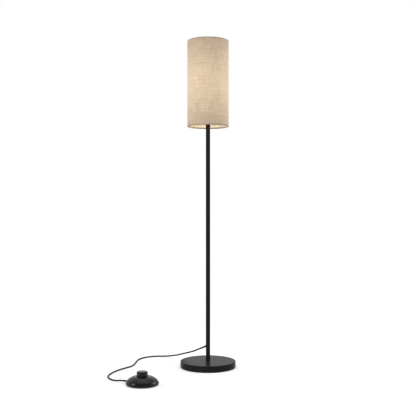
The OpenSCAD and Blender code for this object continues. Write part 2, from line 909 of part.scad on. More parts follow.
// a bridge with two screws presses each flex onto the base plate
clamp_r = lead_in_r + 7;
clamp_w = 7;
clamp_span = 20;
clamp_screw_y = clamp_span / 2 - 3;
clamp_screw_d = screw_d - 0.5;
clamp_top = entry_z + cord_r + 2;
module cord_clamps() {
    color("#1e1e1e")
        at_switch()
            for (a = [entry_angle, entry_angle + 180])
                rotate([0, 0, a])
                    translate([clamp_r, 0, plate_top])
                        difference() {
                            translate([-clamp_w / 2, -clamp_span / 2, 0])
                                cube([clamp_w, clamp_span, clamp_top - plate_top]);
                            translate([-clamp_w, 0, entry_z - plate_top])
                                rotate([0, 90, 0]) cylinder(r = cord_r + fit, h = 2 * clamp_w);
                            for (y = [-1, 1])
                                translate([0, y * clamp_screw_y, -cut])
                                    cylinder(d = clamp_screw_d + 2 * fit, h = clamp_top);
                        }
}

module clamp_screws() {
    color("#a8a8a8")
        at_switch()
            for (a = [entry_angle, entry_angle + 180], y = [-1, 1])
                rotate([0, 0, a])
                    translate([clamp_r, y * clamp_screw_y, plate_top]) {
                        cylinder(d = clamp_screw_d, h = clamp_top - plate_top + cut / 2);
                        translate([0, 0, clamp_top - plate_top]) cylinder(d = screw_d + 1.5, h = 1.6);
                    }
}

module switch_gland() {
    shank_in = 5;
    color("#1b1b1b")
        at_switch()
            difference() {
                union() {
                    at_entry() translate([0, 0, switch_r]) gland_tail();
                    at_entry() translate([0, 0, switch_r - shank_in])
                        cylinder(d = gland_root_d - 2 * fit, h = shank_in + cut);
                }
                at_entry() translate([0, 0, switch_r - shank_in - cut])
                    cylinder(r = cord_r + fit, h = shank_in + gland_l + 2 * cut);
            }
}

// the outlet for the lead to the plug, which ends at the rim
module outlet_bush() {
    bush_l = 5;
    color("#1b1b1b")
        at_switch()
            at_entry(entry_angle + 180)
                translate([0, 0, switch_r - bush_l])
                    difference() {
                        cylinder(d = gland_root_d - 2 * fit, h = bush_l);
                        translate([0, 0, -cut]) cylinder(r = cord_r + loose, h = bush_l + 2 * cut);
                    }
}

// the flex's last stretch, from the tip of the tail to inside the clamp
module switch_lead() {
    color("#202020")
        at_switch()
            at_entry() translate([0, 0, lead_in_r]) cylinder(r = cord_r, h = switch_r + gland_l - lead_in_r);
}

// the flex's two wires, from the end of its sheath to the nearer terminal
module switch_cores() {
    wire_r = 0.9;
    spread = 5.5; // half the distance between the wires at the terminals
    terminal_face = -terminal_ring_r - terminal_size / 2;
    sheath_end = [lead_in_r * cos(entry_angle), lead_in_r * sin(entry_angle), entry_z];
    color("#7a5a3a")
        at_switch()
            for (side = [-1, 1]) {
                offset_dir = [-sin(entry_angle), cos(entry_angle), 0] * side * (wire_r + 0.15);
                goal = [terminal_face - end_run, 0.5 - side * spread, entry_z];
                start = sheath_end + offset_dir - wire_r / 2 * entry_dir;
                sweep(concat(
                    [for (t = [0:0.125:1])
                        [start[0] + (goal[0] - start[0]) * t,
                         start[1] + (goal[1] - start[1]) * ease(t),
                         entry_z]],
                    [[terminal_face - fit, goal[1], entry_z]]), wire_r, 8, [0, 0, 1]);
            }
}

base_cover();
base_weight();
base_pad();
base_washer();
base_bolt();
column_lower();
column_middle();
column_upper();
column_foot();
column_joiners();
column_sleeves();
column_top();
top_nipple();
column_gland();
column_lead();
cord();
holder_cap();
holder_body();
holder_core();
shell_contact();
centre_contact();
holder_screws();
holder_cores();
shade_ring();
bulb_tip();
bulb_insulator();
bulb_cap();
bulb_neck();
bulb_board();
bulb_globe();
shade_fabric();
shade_liner();
shade_trims();
shade_seam();
shade_top_ring();
shade_bottom_ring();
shade_spokes();
shade_fitter();
switch_cover();
switch_pad();
switch_base();
cover_screws();
switch_button();
plunger();
button_spring();
switch_block();
contact_rotor();
rotor_bridge();
contact_blades();
terminal_blocks();
terminal_screws();
cord_clamps();
clamp_screws();
switch_gland();
outlet_bush();
switch_lead();
switch_cores();
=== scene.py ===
# Column floor lamp: the looks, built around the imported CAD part.
# The part's own frame: origin on the floor under the column, +Z up, -Y to the front.
# Sizes in the dictionaries are millimetres; every mesh is made in metres.
import json
import math
import bpy
import numpy as np
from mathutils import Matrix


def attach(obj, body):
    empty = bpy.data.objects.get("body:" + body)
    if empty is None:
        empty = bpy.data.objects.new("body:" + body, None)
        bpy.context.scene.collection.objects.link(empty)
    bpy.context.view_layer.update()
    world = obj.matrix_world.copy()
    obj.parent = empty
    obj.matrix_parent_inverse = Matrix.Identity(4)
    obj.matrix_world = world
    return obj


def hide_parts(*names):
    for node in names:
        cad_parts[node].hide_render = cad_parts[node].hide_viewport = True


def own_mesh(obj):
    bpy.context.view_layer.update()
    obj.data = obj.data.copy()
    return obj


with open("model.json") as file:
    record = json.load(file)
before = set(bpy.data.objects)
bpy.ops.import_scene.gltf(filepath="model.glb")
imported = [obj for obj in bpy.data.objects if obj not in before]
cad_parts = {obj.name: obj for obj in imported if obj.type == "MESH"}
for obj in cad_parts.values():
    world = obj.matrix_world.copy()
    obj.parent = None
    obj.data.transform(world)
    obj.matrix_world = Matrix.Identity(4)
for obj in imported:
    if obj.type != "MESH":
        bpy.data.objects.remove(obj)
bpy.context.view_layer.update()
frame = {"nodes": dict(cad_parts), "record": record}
mm = 0.001
fullTurn = 2 * math.pi
tiny = 1e-6  # what counts as nothing, in mm and in radians
near = 1e-5  # points closer than this, in mm, are one
print("frame loaded: %d nodes" % len(frame["nodes"]))

view = {"place": (0, -3430, 732), "lens": 64.52, "sensor": 36}  # level, square to the lamp

camera = bpy.data.objects.new("camera", bpy.data.cameras.new("camera"))
camera.data.lens = view["lens"]
camera.data.sensor_width = view["sensor"]
camera.location = [x * mm for x in view["place"]]
camera.rotation_euler = (math.pi / 2, 0, 0)
bpy.context.scene.collection.objects.link(camera)
bpy.context.scene.camera = camera


# vectors of length 1
def unit(v):
    return v / np.linalg.norm(v, axis=-1, keepdims=True)


# a step from 0 to 1 with level ends, 3 t^2 - 2 t^3, between low and high
def ease(x, low=0, high=1):
    t = np.clip((x - low) / (high - low), 0, 1)
    return t * t * (3 - 2 * t)


# how far along a line each of its points lies
def runOf(points):
    return np.append(0, np.cumsum(np.linalg.norm(np.diff(points, axis=0), axis=1)))


# leaves out each point that lies on the one before it
def apart(points):
    return points[np.linalg.norm(points - np.roll(points, 1, 0), axis=1) > near]


# An outline with its corners rounded. A corner is (x, z) or (x, z, radius), and its arc's centre
# stands on the corner's bisector at radius / sin(half angle). Each stretch longer than four supports
# gets a point close to both ends, so that its shading stays flat. An open outline has no stretch
# from its last corner back to its first.
def rounded(corners, steps=8, support=0.6, closed=True):
    table = np.array([(*c, 0)[:3] for c in corners], float)
    here, radius = table[:, :2], table[:, 2:]
    before = unit(np.roll(here, 1, 0) - here)
    after = unit(np.roll(here, -1, 0) - here)
    half = np.arccos(np.clip((before * after).sum(1, keepdims=True), -1, 1)) / 2
    centre = here + unit(before + after + tiny ** 2) * radius / np.sin(half)
    start = here + before * radius / np.tan(half) - centre
    end = here + after * radius / np.tan(half) - centre
    turn = np.maximum(math.pi - 2 * half, tiny)[:, None]
    t = np.linspace(0, 1, steps + 1)[None, :, None]
    swing = np.sin((1 - t) * turn) * start[:, None] + np.sin(t * turn) * end[:, None]
    points = apart((centre[:, None] + swing / np.sin(turn)).reshape(-1, 2))
    gap = np.roll(points, -1, 0) - points
    length = np.linalg.norm(gap, axis=1, keepdims=True)
    step = np.where(length > 4 * support, support / length, 0) * gap
    triple = np.stack([points, points + step, points + gap - step], 1).reshape(-1, 2)
    return apart(triple if closed else triple[:-2])


# an open outline with its corners rounded, carried on to the axis at both ends
def toAxis(corners, steps):
    return np.vstack([[(0, corners[0][1])], rounded(corners, steps, closed=False),
                      [(0, corners[-1][1])]])


# a closed outline with more points, so that no two are further apart than step
def finer(outline, step):
    loop = np.vstack([outline, outline[:1]])
    length = runOf(loop)
    fine = np.union1d(length, np.arange(0, length[-1], step))[:-1]
    return np.stack([np.interp(fine, length, loop[:, k]) for k in (0, 1)], 1)


# points of an arc in the plane, from angle to angle in degrees
def arcLine(x, z, radius, first, last, steps):
    a = np.radians(np.linspace(first, last, steps + 1))
    return np.stack([x + radius * np.cos(a), z + radius * np.sin(a)], 1)


# a straight wall cut into many rows, for a thread to follow
def wallLine(radius, low, high, step):
    z = np.linspace(low, high, int((high - low) / step) + 1)
    return np.stack([0 * z + radius, z], 1)


# The faces of a grid. Quads join each point to its neighbours, and the last column to the first. With
# wrap the last row joins the first; otherwise an end row becomes a flat cap, or a pole where its
# points are all in one place. Each set of faces has its corners' points, rows and columns.
def gridFaces(grid, wrap):
    rows, columns = grid.shape[:2]
    i, j = np.meshgrid(np.arange(rows if wrap else rows - 1), np.arange(columns), indexing="ij")
    i, j = i.reshape(-1, 1), j.reshape(-1, 1)
    down, across = i + [0, 1, 1, 0], j + [0, 0, 1, 1]
    pole = np.ptp(grid, axis=1).max(1) < tiny
    home = np.where(np.repeat(pole, columns), np.repeat(np.arange(rows), columns) * columns,
                    np.arange(rows * columns))
    quads = home[down % rows * columns + across % columns]
    startPole, endPole = quads[:, 0] == quads[:, 3], quads[:, 1] == quads[:, 2]
    plain = ~(startPole | endPole)
    sets = [(quads[plain], down[plain], across[plain])]
    for chosen, kept in ((startPole, [0, 1, 2]), (endPole, [0, 1, 3])):
        sets.append((quads[chosen][:, kept], down[chosen][:, kept], across[chosen][:, kept]))
    if not wrap:
        ring = np.arange(columns)[None]
        for row, order in ((0, ring), (rows - 1, ring[:, ::-1])):
            if not pole[row]:
                sets.append((row * columns + order, 0 * order + row, order))
    return sets


# A mesh from grids of points in mm, each rows x columns x 3. A grid's faces are turned round where
# the volume that they enclose, the sum of centre . area / 3, comes out negative. uv gives the
# distance of each row and each column, in metres.
def gridPiece(name, grids, wrap=False, uv=None, sharp=30):
    points, loops, counts, uvs, base = [], [], [], [], 0
    for grid in grids if isinstance(grids, list) else [grids]:
        flat = grid.reshape(-1, 3) * mm
        sets = gridFaces(grid, wrap)
        volume = sum((flat[c].mean(1) * np.cross(flat[c], flat[np.roll(c, -1, 1)]).sum(1)).sum()
                     for c, _, _ in sets)
        way = -1 if volume < 0 else 1
        for corners, row, column in sets:
            loops.append(corners[:, ::way].ravel() + base)
            counts.append(np.full(len(corners), corners.shape[1]))
            if uv:
                uvs.append(np.stack([uv[0][row[:, ::way].ravel()], uv[1][column[:, ::way].ravel()]], 1))
        points.append(flat)
        base += len(flat)
    loops, counts = np.concatenate(loops), np.concatenate(counts)
    used, loops = np.unique(loops, return_inverse=True)
    points = np.concatenate(points)[used]
    mesh = bpy.data.meshes.new(name)
    mesh.vertices.add(len(points))
    mesh.vertices.foreach_set("co", points.ravel())
    mesh.loops.add(len(loops))
    mesh.loops.foreach_set("vertex_index", loops.ravel())
    mesh.polygons.add(len(counts))
    mesh.polygons.foreach_set("loop_start", np.cumsum(counts) - counts)
    mesh.update(calc_edges=True)
    if uv:
        mesh.uv_layers.new(name="surface").data.foreach_set("uv", np.concatenate(uvs).ravel())
    mesh.validate()
    mesh.shade_smooth()
    mesh.set_sharp_from_angle(angle=math.radians(sharp))
    piece = bpy.data.objects.new(name, mesh)
    bpy.context.scene.collection.objects.link(piece)
    return piece


# An outline of (radius, height) turned about Z: x = r cos a, y = r sin a. One that starts and ends
# on the axis closes with poles, and any other is a closed loop. shape(a, r, z) may change r and z,
# as for ribs and threads, and place(points) puts the result where it belongs.
def turned(name, outline, sides=96, shape=None, place=None):
    outline = np.asarray(outline, float)
    a = np.linspace(0, fullTurn, sides, endpoint=False)
    solid = outline[0, 0] < tiny and outline[-1, 0] < tiny
    if solid:
        a, r, z = a[None], outline[:, :1], outline[:, 1:]
    else:
        a, r, z = a[:, None], outline[None, :, 0], outline[None, :, 1]
    if shape:
        r, z = shape(a, r, z)
    grid = np.stack(np.broadcast_arrays(r * np.cos(a), r * np.sin(a), z), -1)
    return gridPiece(name, place(grid) if place else grid, wrap=not solid)


# helical thread of the given pitch on the wall of that radius, which dips by depth (1 + cos) / 2
# along z / pitch - a / 2 pi; the thread runs out over one pitch at both ends
def threadShape(radius, low, high, pitch, depth):
    def shape(a, r, z):
        dip = 0.5 + 0.5 * np.cos(fullTurn * z / pitch - a)
        fade = ease(z, low, low + pitch) * (1 - ease(z, high - pitch, high))
        return r - depth * dip * fade * (np.abs(r - radius) < 0.05), z + 0 * a
    return shape


# a row of ribs around a piece: the radius dips by depth between count ribs, where inside(r, z) says
def ribShape(count, depth, inside):
    def shape(a, r, z):
        return r - depth * (0.5 - 0.5 * np.cos(count * a)) ** 2 * inside(r, z), z + 0 * a
    return shape


# moves points from axes of their own, given by their directions, to a place on the lamp
def placed(origin, xWay, yWay, zWay):
    def place(points):
        x, y, z = points[..., :1], points[..., 1:2], points[..., 2:]
        return np.array(origin) + x * xWay + y * yWay + z * zWay
    return place


# A circle carried along a path: point = p + r (cos a u + sin a v), where u is square to the path and
# to the reference direction, and v to both.
def sweptGrid(path, radius, sides, reference=(0, 0, 1)):
    path = np.asarray(path, float)
    along = unit(np.gradient(path, axis=0))
    u = unit(np.cross(reference, along))[:, None]
    v = np.cross(along, u[:, 0])[:, None]
    a = np.linspace(0, fullTurn, sides, endpoint=False)[None, :, None]
    reach = np.broadcast_to(radius, len(path))[:, None, None]
    return path[:, None] + reach * (np.cos(a) * u + np.sin(a) * v)


# Points of a curve through the given ones: each stretch is the cubic whose slope at a point is half
# the step between its two neighbours.
def smoothLine(points, steps):
    p = np.vstack([2 * points[0] - points[1], points, 2 * points[-1] - points[-2]])
    a, b, c, d = (p[k:len(p) - 3 + k, None] for k in range(4))
    t = np.linspace(0, 1, steps, endpoint=False)[None, :, None]
    square = (a - 2.5 * b + 2 * c - d / 2) * t ** 2
    cube = (1.5 * (b - c) + (d - a) / 2) * t ** 3
    curve = b + (c - a) * t / 2 + square + cube
    return np.vstack([curve.reshape(-1, 3), points[-1]])


# sRGB hex to linear: c / 12.92 when dark, otherwise ((c + 0.055) / 1.055) ^ 2.4
def linear(hexColour):
    c = np.array([int(hexColour[k:k + 2], 16) for k in (0, 2, 4)]) / 255
    return (*(float(x) for x in np.where(c <= 0.04045, c / 12.92, ((c + 0.055) / 1.055) ** 2.4)), 1)


# gives each socket of a node its constant, or its link where the value is another node's output
def feed(tree, node, sockets):
    for socket, value in sockets.items():
        if isinstance(value, bpy.types.NodeSocket):
            tree.links.new(value, node.inputs[socket])
        else:
            node.inputs[socket].default_value = value


# adds one shader node, with its own settings and what its sockets get
def addNode(tree, kind, sockets=None, **settings):
    node = tree.nodes.new("ShaderNode" + kind)
    for key, value in settings.items():
        setattr(node, key, value)
    feed(tree, node, sockets or {})
    return node


# a new material, its tree and its shader
def startMaterial(name):
    material = bpy.data.materials.new(name)
    material.use_nodes = True
    return material, material.node_tree, material.node_tree.nodes["Principled BSDF"]


# one step of arithmetic on numbers and outputs
def calc(tree, operation, *terms):
    return addNode(tree, "Math", dict(enumerate(terms)), operation=operation).outputs[0]


# noise with features of size mm
def noise(tree, place, size, detail=2):
    sockets = {"Vector": place, "Scale": 1 / (size * mm), "Detail": detail}
    return addNode(tree, "TexNoise", sockets).outputs["Fac"]


# a value moved from one range to another
def remap(tree, value, source, target=(0, 1), **settings):
    sockets = {"Value": value, "From Min": source[0], "From Max": source[1],
               "To Min": target[0], "To Max": target[1]}
    return addNode(tree, "MapRange", sockets, **settings).outputs[0]


# a colour between two hex colours
def blend(tree, colours, share):
    sockets = {0: share, 6: linear(colours[0]), 7: linear(colours[1])}
    return addNode(tree, "Mix", sockets, data_type="RGBA").outputs[2]


# light of a hex colour and of a strength that varies
def glowing(tree, colour, strength):
    sockets = {0: linear(colour)[:3], 3: strength}
    return addNode(tree, "VectorMath", sockets, operation="SCALE").outputs[0]


# bumps that stand up to height mm high, over those that normal already gives
def bumps(tree, fac, height, normal=None):
    sockets = {"Height": fac, "Distance": height * mm}
    if normal:
        sockets["Normal"] = normal
    return addNode(tree, "Bump", sockets).outputs[0]


noiseRange = (0.3, 0.7)  # where most of a noise's values lie

# A finish with a grain. colours are the two ends of a soft mottle of size mottle mm; roughness runs
# between its two values with the same mottle; grain mm is the size of the surface's bumps and
# height mm how high they stand. rings, in mm, draws the fine rings that a lathe or a die leaves.
def grainFinish(name, colours, mottle, roughness, grain, height, specular=0.5, metallic=0, rings=0):
    material, tree, shader = startMaterial(name)
    place = addNode(tree, "TexCoord").outputs["Object"]
    cloud = noise(tree, place, mottle, 3)
    relief = noise(tree, place, grain)
    if rings:
        # a wave texture runs as the sine of 20 times its coordinate
        waves = {"Vector": place, "Scale": 1 / (rings * mm) / 20, "Distortion": 0.6}
        lines = addNode(tree, "TexWave", waves, bands_direction="Z").outputs["Fac"]
        relief = calc(tree, "MULTIPLY_ADD", lines, 0.5, relief)
    feed(tree, shader, {"Metallic": metallic, "Specular IOR Level": specular,
                        "Base Color": blend(tree, colours, cloud),
                        "Roughness": remap(tree, cloud, noiseRange, roughness),
                        "Normal": bumps(tree, relief, height)})
    return material


finishes = {
    # powder coat over steel, baked: satin, with a faint orange peel of about 2 mm
    "satin_black_steel": grainFinish(
        "powderCoatedSteel", ("22211f", "282725"), 18, (0.28, 0.32), 1.9, 0.0015, specular=0.03),
    # cast iron and cement mix: grey, open pored, never seen from above
    "cast_stone": grainFinish(
        "castCounterweight", ("4d4a46", "6b6761"), 9, (0.8, 0.95), 1.4, 0.12, specular=0.3),
    # moulded rubber: dull, with the fine spark texture of its mould
    "black_rubber": grainFinish(
        "mouldedRubber", ("141414", "1b1b1a"), 6, (0.55, 0.68), 0.5, 0.012, specular=0.35),
    # zinc plate on steel, bright dipped: pale grey with slight cloudiness
    "zinc_steel": grainFinish(
        "zincPlatedSteel", ("a9adb0", "c3c6c8"), 4, (0.28, 0.42), 0.4, 0.004, metallic=1),
    # drawn and turned brass: yellow, with fine rings from the tool
    "brass": grainFinish(
        "turnedBrass", ("b8924e", "cfaa66"), 5, (0.24, 0.36), 0.35, 0.004, metallic=1, rings=0.5),
    # phenolic moulding: deep black with a low gloss and a fine mottle of its filler
    "black_thermoset": grainFinish(
        "phenolicMoulding", ("121110", "1d1a18"), 2.5, (0.3, 0.4), 0.9, 0.006),
    # polished ABS moulding: glossy black, its skin waved a little by cooling
    "black_gloss_abs": grainFinish(
        "polishedAbs", ("0a0a0a", "0f0f0e"), 22, (0.19, 0.25), 7, 0.004, specular=0.22),
    # pressed steatite: off-white, dense and slightly grainy
    "steatite": grainFinish(
        "pressedSteatite", ("e0dbd0", "ece8df"), 3, (0.45, 0.6), 0.4, 0.01),
    # PVC skin on a copper strand: brown, smooth, slightly waxy
    "core_insulation": grainFinish(
        "extrudedPvcCore", ("5b3a22", "6d4629"), 5, (0.35, 0.45), 1, 0.006),
    # injection moulded polycarbonate neck: white with a soft gloss
    "white_plastic": grainFinish(
        "mouldedPolycarbonate", ("e6e6e2", "f0f0ec"), 8, (0.35, 0.45), 0.7, 0.006),
    # nickel plate on pressed steel: warm silver, drawn lines
    "nickel_cap": grainFinish(
        "nickelPlatedCap", ("b9b3a8", "cdc8be"), 4, (0.2, 0.32), 0.5, 0.003, metallic=1, rings=0.4),
    # vitrite insulator: black glass with a fire-polished skin
    "black_glass": grainFinish(
        "vitriteGlass", ("08080a", "101013"), 3, (0.05, 0.12), 1.5, 0.008),
    # epoxy coated wire: white, slightly lumpy where the coat ran
    "white_wire": grainFinish(
        "epoxyCoatedWire", ("d8d6d0", "e6e4df"), 12, (0.32, 0.45), 2.4, 0.02),
    # natural nylon: milky, waxy
    "nylon": grainFinish(
        "naturalNylon", ("cfcabb", "dfdacb"), 6, (0.4, 0.5), 0.8, 0.006),
    # acetal rotor: blue, slippery and slightly glossy
    "blue_acetal": grainFinish(
        "machinedAcetal", ("23527d", "2f6594"), 5, (0.28, 0.36), 0.6, 0.004),
    # patented spring wire, oiled: dark grey with a fine cloudiness
    "spring_steel": grainFinish(
        "drawnSpringSteel", ("7d7f82", "97999c"), 3, (0.25, 0.38), 0.3, 0.003, metallic=1),
}

# Extruded PVC flex: black with a soft sheen. Its two cores are laid up in a twist, which shows
# through the sheath as a slow ridge, drawn from the surface's own length and width.
flexDiameter = 6.8
flexFinish = {"colours": ("070707", "0b0b0a"), "roughness": (0.4, 0.5), "specular": 0.06,
              "cores": 2, "lay": 45, "ridge": 0.05, "grain": 0.8, "height": 0.008}


# the ridge is the sine of cores * 2 pi (length / lay + width / girth)
def extrudedFlex(facts):
    material, tree, shader = startMaterial("extrudedPvcFlex")
    surface = addNode(tree, "TexCoord").outputs["UV"]
    axes = addNode(tree, "SeparateXYZ", {0: surface}).outputs
    turn = fullTurn * facts["cores"]
    phase = calc(tree, "MULTIPLY", axes[0], turn / (facts["lay"] * mm))
    phase = calc(tree, "MULTIPLY_ADD", axes[1], turn / (math.pi * flexDiameter * mm), phase)
    twist = bumps(tree, calc(tree, "SINE", phase), facts["ridge"])
    grain = noise(tree, surface, facts["grain"])
    feed(tree, shader, {"Specular IOR Level": facts["specular"],
                        "Base Color": blend(tree, facts["colours"], grain),
                        "Roughness": remap(tree, grain, noiseRange, facts["roughness"]),
                        "Normal": bumps(tree, grain, facts["height"], twist)})
    return material


# Linen over a lit lining. The light that comes through it is painted on as a glow: brightest beside
# the bulb, falling off up and down as exp(-(distance / reach)^2), varying a little with the slubs,
# and none in the folded hems. The threads of such a linen lie 0.7 mm apart and its slubs are 1 mm
# thick, too fine to show, so they are drawn 3 mm apart and 4 mm thick; the slubs of the warp run up
# the drum, those of the weft round it.
linenFinish = {"colours": ("b8a290", "9c8775"), "roughness": 0.85, "specular": 0.2, "sheen": 0.2,
               "sheenRoughness": 0.4, "glow": "ffe8bf", "base": 0.06, "peak": 0.365, "centre": 1296,
               "reach": 186, "thread": 3, "threadHeight": 0.12, "slubs": ((4, 60), (110, 4), (30, 30)),
               "patchShare": 0.5, "slubRange": (0.95, 1.55), "slubShade": 0.2, "slubHeight": 0.36,
               "foot": 1105, "top": 1500, "hem": 5, "hemEase": (0.9, 1.1)}

# The lining is opal sheet: white, and the bulb's light on it is painted on as a glow, brightest
# beside the bulb.
liningFinish = {"colours": ("dcd3c4", "e4ddd0"), "roughness": 0.5, "specular": 0.4, "glow": "ffeaca",
                "base": 0.28, "peak": 0.1, "centre": 1296, "reach": 90, "grain": 1.2, "height": 0.01}

# Frosted opal polycarbonate: it glows evenly, a little less at the foot, where the board ends.
opalFinish = {"colours": ("f4efe4", "fbf7ef"), "roughness": 0.4, "specular": 0.5, "glow": "ffecce",
              "strength": 8, "footGlow": 0.45, "foot": 1269, "clear": 1285, "grain": 0.9,
              "height": 0.006}


# the strength of a painted glow at each height: base + peak exp(-((z - centre) / reach)^2)
def glowOf(tree, height, facts):
    reach = facts["reach"]
    away = calc(tree, "MULTIPLY_ADD", height, 1 / (reach * mm), -facts["centre"] / reach)
    minus = calc(tree, "MULTIPLY", calc(tree, "POWER", away, 2), -1)
    return calc(tree, "MULTIPLY_ADD", calc(tree, "EXPONENT", minus), facts["peak"], facts["base"])


def wovenLinen(facts):
    material, tree, shader = startMaterial("wovenLinen")
    coordinates = addNode(tree, "TexCoord").outputs
    surface = coordinates["UV"]
    height = addNode(tree, "SeparateXYZ", {0: coordinates["Object"]}).outputs[2]
    axes = addNode(tree, "SeparateXYZ", {0: surface}).outputs
    waves = [calc(tree, "SINE", calc(tree, "MULTIPLY", axes[k], math.pi / (facts["thread"] * mm)))
             for k in (0, 1)]
    weave = calc(tree, "MULTIPLY", *waves)
    slubs = []
    for long, tall in facts["slubs"]:
        sockets = {"Vector": surface, "Scale": (1 / (long * mm), 1 / (tall * mm), 1)}
        pulled = addNode(tree, "Mapping", sockets).outputs[0]
        sockets = {"Vector": pulled, "Scale": 1, "Detail": 2, "Roughness": 0.6}
        slubs.append(addNode(tree, "TexNoise", sockets).outputs["Fac"])
    warp, weft, patch = slubs
    slub = calc(tree, "MULTIPLY_ADD", patch, facts["patchShare"], calc(tree, "ADD", warp, weft))
    shade = facts["slubShade"] / 2
    # lit is the painted glow, the bulb's light through the cloth drawn as emission
    lit = calc(tree, "MULTIPLY", glowOf(tree, height, facts),
               remap(tree, slub, facts["slubRange"], (1 + shade, 1 - shade)))
    for edge, way in (("foot", 1), ("top", -1)):  # the hems let no light through
        ends = [(facts[edge] + way * facts["hem"] * share) * mm for share in facts["hemEase"]]
        lit = calc(tree, "MULTIPLY", lit, remap(tree, height, ends))
    threads = bumps(tree, weave, facts["threadHeight"])
    tone = remap(tree, slub, facts["slubRange"])
    feed(tree, shader, {"Roughness": facts["roughness"], "Specular IOR Level": facts["specular"],
                        "Sheen Weight": facts["sheen"], "Sheen Roughness": facts["sheenRoughness"],
                        "Base Color": blend(tree, facts["colours"], tone),
                        "Emission Color": glowing(tree, facts["glow"], lit), "Emission Strength": 1,
                        "Normal": bumps(tree, slub, facts["slubHeight"], threads)})
    return material


# Opal plastic, lit from within: share(tree, height, facts) says how brightly at each height. On the
# bulb's globe this is the lamp's own light; on the lining it is painted glow.
def opalPlastic(name, facts, share):
    material, tree, shader = startMaterial(name)
    place = addNode(tree, "TexCoord").outputs["Object"]
    height = addNode(tree, "SeparateXYZ", {0: place}).outputs[2]
    grain = noise(tree, place, facts["grain"])
    feed(tree, shader, {"Roughness": facts["roughness"], "Specular IOR Level": facts["specular"],
                        "Base Color": blend(tree, facts["colours"], grain),
                        "Emission Color": glowing(tree, facts["glow"], share(tree, height, facts)),
                        "Emission Strength": facts.get("strength", 1),
                        "Normal": bumps(tree, grain, facts["height"])})
    return material


def footShare(tree, height, facts):
    return remap(tree, height, (facts["foot"] * mm, facts["clear"] * mm), (facts["footGlow"], 1),
                 interpolation_type="SMOOTHSTEP")


finishes["black_flex"] = extrudedFlex(flexFinish)
finishes["linen"] = wovenLinen(linenFinish)
# the lining's glow is painted light: the bulb's light falling on it, drawn as emission
finishes["lining"] = opalPlastic("opalSheetLining", liningFinish, glowOf)
finishes["opal_diffuser"] = opalPlastic("frostedOpalGlobe", opalFinish, footShare)
print("materials made: %d" % len(finishes))


# gives a piece its finish, hides the CAD nodes it stands for, and lets it ride on its body
def dress(piece, slot, *nodes, body="root"):
    piece.data.materials.append(finishes[slot])
    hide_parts(*nodes)
    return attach(piece, body)


# The free flex: out of the column, down in the air, along the floor to the switch, and straight on
# through its gland to the clamps inside. The points are the ones that the CAD's route has.
flex = {"diameter": flexDiameter, "sides": 24, "steps": 12, "straight": 8, "easing": 30,
        "outlet": (-30.398, 0, 88.259), "outletDrop": 22, "entry": (-356.374, -311.911, 10),
        "entryAngle": 158, "inside": 50, "insideFrom": 2, "insideSteps": 25}
flexRoute = [
    [-62, 7, 74], [-90, 35, 61], [-116, 75, 48], [-141, 122, 33], [-164, 168, 21], [-187, 210, 10],
    [-214, 235, 4], [-250, 236, 3], [-285, 224, 3], [-315, 197, 3], [-333, 157, 3], [-340, 105, 3],
    [-342, 54, 3], [-351, 6, 3], [-375, -33, 3], [-403, -78, 3], [-423, -130, 3], [-433, -180, 3],
    [-430, -222, 3], [-415, -258, 3], [-392, -287, 5]]

# the ways in which the flex leaves the column and meets the switch, both pointing out of the housing
drop, entry = math.radians(flex["outletDrop"]), math.radians(flex["entryAngle"])
outletWay = np.array([-math.cos(drop), 0, -math.sin(drop)])
entryWay = np.array([math.cos(entry), math.sin(entry), 0])
upWay = np.array([0, 0, 1])


def makeFlex():
    start, end = np.array(flex["outlet"]), np.array(flex["entry"])
    route = np.array([start, start + flex["straight"] * outletWay, *flexRoute,
                      end + flex["straight"] * entryWay, end])
    steps = flex["steps"]
    path = smoothLine(route, steps)
    share = np.linspace(0, 1, steps, endpoint=False)[:, None]
    path[:steps] = route[0] + share * (route[1] - route[0])
    path[-steps:] = route[-2] + (share + 1 / steps) * (route[-1] - route[-2])
    for _ in range(flex["easing"]):  # eases the bend where a straight end meets the curve
        path[2:-2] = (path[1:-3] + 2 * path[2:-2] + path[3:-1]) / 4
    inside = np.linspace(flex["insideFrom"], flex["inside"], flex["insideSteps"])[:, None]
    path = np.vstack([path, end - entryWay * inside])
    path[:, 2] = np.maximum(path[:, 2], flex["diameter"] / 2)
    length = runOf(path)
    girth = np.linspace(0, math.pi * flex["diameter"], flex["sides"] + 1)
    grid = sweptGrid(path, flex["diameter"] / 2, flex["sides"])
    piece = gridPiece("flex", grid, uv=(length * mm, girth * mm))
    return dress(piece, "black_flex", "cord", "switch_lead"), path * mm, float(length[-1]) * mm


flexPiece, flexPath, flexLength = makeFlex()
print("flex: %.3f m" % flexLength)

base = {"diameter": 254, "height": 30, "wall": 1.5, "edge": 3, "hole": 10.6, "topRound": 0.3,
        "footRound": 0.5, "padHeight": 2, "padInset": 5, "padRound": 0.4, "padFlat": 28,
        "ribs": 18, "firstRib": 30, "ribPitch": 5, "ribTop": 2, "ribFoot": 3, "ribDepth": 0.3,
        "ribRound": 0.2}


def makeBase():
    b = base
    r, h, wall, pad, hole = b["diameter"] / 2, b["height"], b["wall"], b["padHeight"], b["hole"] / 2
    cover = rounded([(hole, h - wall), (hole, h, b["topRound"]), (r, h, b["edge"]),
                     (r, pad, b["footRound"]), (r - wall, pad, b["footRound"]),
                     (r - wall, h - wall, b["edge"] - wall)], steps=10)
    dress(turned("baseCover", cover, sides=240), "satin_black_steel", "base_cover")
    edge, deep, corners = r - b["padInset"], b["ribDepth"], []
    for k in range(b["ribs"]):
        middle = b["firstRib"] + k * b["ribPitch"]
        corners += [(middle - b["ribFoot"] / 2, deep), (middle - b["ribTop"] / 2, 0, b["ribRound"]),
                    (middle + b["ribTop"] / 2, 0, b["ribRound"]), (middle + b["ribFoot"] / 2, deep)]
    corners += [(edge, 0, b["padRound"]), (edge, pad, b["padRound"]), (b["padFlat"], pad)]
    dress(turned("basePad", toAxis(corners, steps=3), sides=160), "black_rubber", "base_pad")


makeBase()

